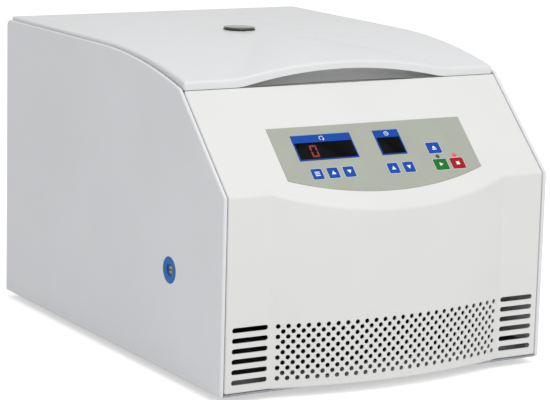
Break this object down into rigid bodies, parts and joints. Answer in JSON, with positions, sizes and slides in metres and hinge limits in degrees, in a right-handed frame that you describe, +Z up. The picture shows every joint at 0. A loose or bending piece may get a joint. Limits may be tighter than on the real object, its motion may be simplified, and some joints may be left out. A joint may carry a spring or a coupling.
{
  "type": "low-speed bench centrifuge",
  "caption": "Low-speed bench centrifuge with a hinged lid, a swing-out rotor with round buckets, a perforated front moulding and a sloping key panel.",
  "frame": {"origin": "centre of the whole machine's outline on the bench, at the bottom of the feet", "axes": "+Z up, -Y out of the front with the keys, +X to the right seen from the front"},
  "size_m": [0.45, 0.6274, 0.3853],
  "materials": {
    "cream_enamel": "satin",
    "front_moulding": "satin",
    "lid_plastic": "satin",
    "deck_paint": "satin",
    "zinc_sheet": "brushed",
    "stainless": "brushed",
    "bright_steel": "polished",
    "aluminium": "satin",
    "brass": "satin",
    "rubber": "matt",
    "window_glass": "glossy",
    "overlay_film": "satin",
    "display_glass": "glossy",
    "blue_key": "satin",
    "green_key": "satin",
    "red_key": "satin",
    "blue_bushing": "glossy",
    "lamp_green": "glossy",
    "lamp_red": "glossy",
    "black_plastic": "satin",
    "circuit_board": "satin"
  },
  "bodies": {
    "housing": {"base_plate": "zinc_sheet", "left_side_panel": "cream_enamel", "right_side_panel": "cream_enamel", "rear_panel": "cream_enamel", "front_panel": "front_moulding", "top_deck": "deck_paint", "foot_front_left": "rubber", "foot_front_right": "rubber", "foot_rear_left": "rubber", "foot_rear_right": "rubber", "chamber_bowl": "stainless", "bowl_gasket": "rubber", "guard_ring": "zinc_sheet", "shaft_boot": "rubber", "motor_plate": "zinc_sheet", "motor_mount_front_left": "rubber", "motor_mount_front_right": "rubber", "motor_mount_rear_left": "rubber", "motor_mount_rear_right": "rubber", "motor_body": "aluminium", "hinge_base_left": "zinc_sheet", "hinge_base_right": "zinc_sheet", "hinge_pin_left": "bright_steel", "hinge_pin_right": "bright_steel", "lock_housing": "black_plastic", "release_bushing": "blue_bushing", "control_overlay": "overlay_film", "speed_window": "display_glass", "time_window": "display_glass", "control_board": "circuit_board", "lamp_ready": "lamp_green", "lamp_stop": "lamp_red", "power_inlet": "black_plastic", "drive_board": "circuit_board"},
    "lid": {"lid_shell": "lid_plastic", "lid_liner": "lid_plastic", "view_window": "window_glass", "window_ring": "rubber", "hinge_leaf_left": "zinc_sheet", "hinge_leaf_right": "zinc_sheet", "lid_striker": "bright_steel"},
    "rotor": {"motor_shaft": "bright_steel", "rotor_yoke": "aluminium", "rotor_nut": "bright_steel"},
    "bucket_1_body": {"bucket_1": "aluminium"},
    "bucket_2_body": {"bucket_2": "aluminium"},
    "bucket_3_body": {"bucket_3": "aluminium"},
    "bucket_4_body": {"bucket_4": "aluminium"},
    "latch_bolt_body": {"latch_bolt": "bright_steel"},
    "release_spindle_body": {"release_spindle": "brass"},
    "power_rocker_body": {"power_rocker": "black_plastic"},
    "key_set_body": {"key_set": "blue_key"},
    "key_speed_up_body": {"key_speed_up": "blue_key"},
    "key_speed_down_body": {"key_speed_down": "blue_key"},
    "key_time_up_body": {"key_time_up": "blue_key"},
    "key_time_down_body": {"key_time_down": "blue_key"},
    "key_open_body": {"key_open": "blue_key"},
    "key_start_body": {"key_start": "green_key"},
    "key_stop_body": {"key_stop": "red_key"}
  },
  "joints": [
    {"name": "lid_hinge", "type": "hinge", "parent": "housing", "child": "lid", "pos_m": [0, 0.29825, 0.371], "axis": [-1, 0, 0], "range_deg": [0, 80]},
    {"name": "rotor_spin", "type": "hinge", "parent": "housing", "child": "rotor", "pos_m": [0, 0.08025, 0.299], "axis": [0, 0, 1], "continuous": true},
    {"name": "bucket_1_swing", "type": "hinge", "parent": "rotor", "child": "bucket_1_body", "pos_m": [0.082, 0.08025, 0.299], "axis": [0, 1, 0], "range_deg": [-90, 0]},
    {"name": "bucket_2_swing", "type": "hinge", "parent": "rotor", "child": "bucket_2_body", "pos_m": [0, 0.16225, 0.299], "axis": [-1, 0, 0], "range_deg": [-90, 0]},
    {"name": "bucket_3_swing", "type": "hinge", "parent": "rotor", "child": "bucket_3_body", "pos_m": [-0.082, 0.08025, 0.299], "axis": [0, -1, 0], "range_deg": [-90, 0]},
    {"name": "bucket_4_swing", "type": "hinge", "parent": "rotor", "child": "bucket_4_body", "pos_m": [0, -0.00175, 0.299], "axis": [1, 0, 0], "range_deg": [-90, 0]},
    {"name": "latch_slide", "type": "slide", "parent": "housing", "child": "latch_bolt_body", "axis": [1, 0, 0], "range_m": [0, 0.008]},
    {"name": "release_turn", "type": "hinge", "parent": "housing", "child": "release_spindle_body", "pos_m": [-0.225, -0.16135, 0.1326], "axis": [1, 0, 0], "range_deg": [0, 90]},
    {"name": "rocker_tilt", "type": "hinge", "parent": "housing", "child": "power_rocker_body", "pos_m": [0.15, 0.30775, 0.095], "axis": [1, 0, 0], "range_deg": [0, 14]},
    {"name": "key_set_press", "type": "slide", "parent": "housing", "child": "key_set_body", "axis": [0, 0.6969, -0.7172], "range_m": [0, 0.0005], "stiffness_N_per_m": 800},
    {"name": "key_speed_up_press", "type": "slide", "parent": "housing", "child": "key_speed_up_body", "axis": [0, 0.6969, -0.7172], "range_m": [0, 0.0005], "stiffness_N_per_m": 800},
    {"name": "key_speed_down_press", "type": "slide", "parent": "housing", "child": "key_speed_down_body", "axis": [0, 0.6969, -0.7172], "range_m": [0, 0.0005], "stiffness_N_per_m": 800},
    {"name": "key_time_up_press", "type": "slide", "parent": "housing", "child": "key_time_up_body", "axis": [0, 0.6969, -0.7172], "range_m": [0, 0.0005], "stiffness_N_per_m": 800},
    {"name": "key_time_down_press", "type": "slide", "parent": "housing", "child": "key_time_down_body", "axis": [0, 0.6969, -0.7172], "range_m": [0, 0.0005], "stiffness_N_per_m": 800},
    {"name": "key_open_press", "type": "slide", "parent": "housing", "child": "key_open_body", "axis": [0, 0.6969, -0.7172], "range_m": [0, 0.0005], "stiffness_N_per_m": 800},
    {"name": "key_start_press", "type": "slide", "parent": "housing", "child": "key_start_body", "axis": [0, 0.6969, -0.7172], "range_m": [0, 0.0005], "stiffness_N_per_m": 800},
    {"name": "key_stop_press", "type": "slide", "parent": "housing", "child": "key_stop_body", "axis": [0, 0.6969, -0.7172], "range_m": [0, 0.0005], "stiffness_N_per_m": 800}
  ]
}
